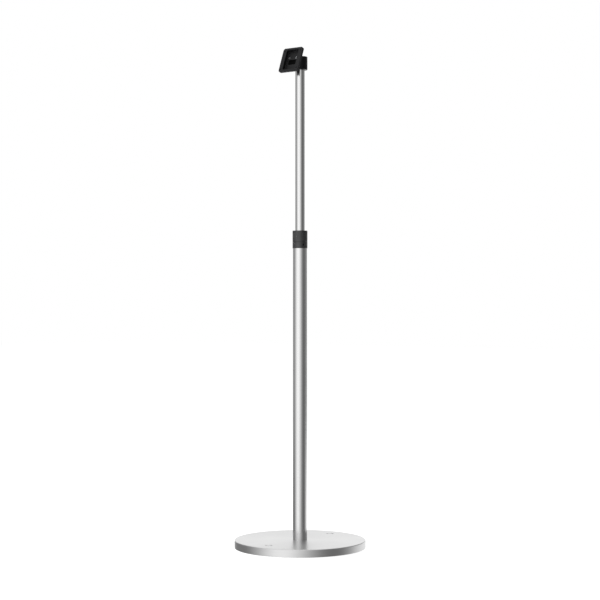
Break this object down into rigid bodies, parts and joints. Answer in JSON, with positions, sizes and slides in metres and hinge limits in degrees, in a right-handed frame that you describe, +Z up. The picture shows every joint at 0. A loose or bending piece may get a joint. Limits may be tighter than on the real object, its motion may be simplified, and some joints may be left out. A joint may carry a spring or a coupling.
{
  "type": "terminal floor stand",
  "caption": "Floor stand for a payment terminal: a round weighted base, a telescopic pole with a lock nut, and a tilting plate on a turning head.",
  "frame": {"origin": "on the floor, at the centre of the round base and on the axis of the pole", "axes": "+Z up along the pole, and the terminal plate faces -Y"},
  "size_m": [0.35, 0.35, 1.3332],
  "materials": {
    "brushed_stainless": "brushed",
    "polished_stainless": "polished",
    "turned_stainless": "turned",
    "coated_steel": "satin",
    "black_powder_coat": "satin",
    "black_oxide": "satin",
    "zinc_steel": "zinc plated",
    "bare_steel": "turned",
    "foot_rubber": "matt",
    "black_nylon": "satin",
    "black_moulding": "fine texture",
    "acetal": "satin",
    "felt": "felt"
  },
  "bodies": {
    "stand": {"base_cover": "brushed_stainless", "base_weight": "coated_steel", "rubber_feet": "foot_rubber", "anchor_cups": "turned_stainless", "lower_tube": "polished_stainless", "foot_plug": "bare_steel", "foot_washer": "zinc_steel", "foot_spring_washer": "zinc_steel", "foot_bolt": "zinc_steel", "foot_dowel": "bare_steel", "collar_body": "black_nylon", "height_screw": "black_oxide", "collet": "acetal"},
    "lock": {"lock_nut": "black_nylon", "wiper_ring": "felt"},
    "mast": {"upper_tube": "polished_stainless", "guide_bush": "acetal", "bush_pins": "bare_steel", "mast_plug": "bare_steel", "pan_washer": "acetal", "pan_spring": "bare_steel", "pan_bolt": "zinc_steel"},
    "head": {"hub": "black_powder_coat", "hub_cap": "black_nylon", "hub_lock_screw": "black_oxide", "tilt_bolt": "black_oxide", "tilt_nut": "black_oxide", "tilt_washers": "acetal"},
    "tray": {"terminal_plate": "black_moulding", "tilt_bracket": "black_powder_coat", "plate_screws": "zinc_steel"}
  },
  "joints": [
    {"name": "lock_turn", "type": "hinge", "parent": "stand", "child": "lock", "pos_m": [0, 0, 0.832], "axis": [0, 0, 1], "range_deg": [0, 120]},
    {"name": "height_slide", "type": "slide", "parent": "stand", "child": "mast", "axis": [0, 0, 1], "range_m": [-0.4, 0.12]},
    {"name": "head_pan", "type": "hinge", "parent": "mast", "child": "head", "pos_m": [0, 0, 1.294], "axis": [0, 0, 1], "continuous": true},
    {"name": "plate_tilt", "type": "hinge", "parent": "head", "child": "tray", "pos_m": [0, -0.019, 1.302], "axis": [-1, 0, 0], "range_deg": [-32, 38]}
  ]
}
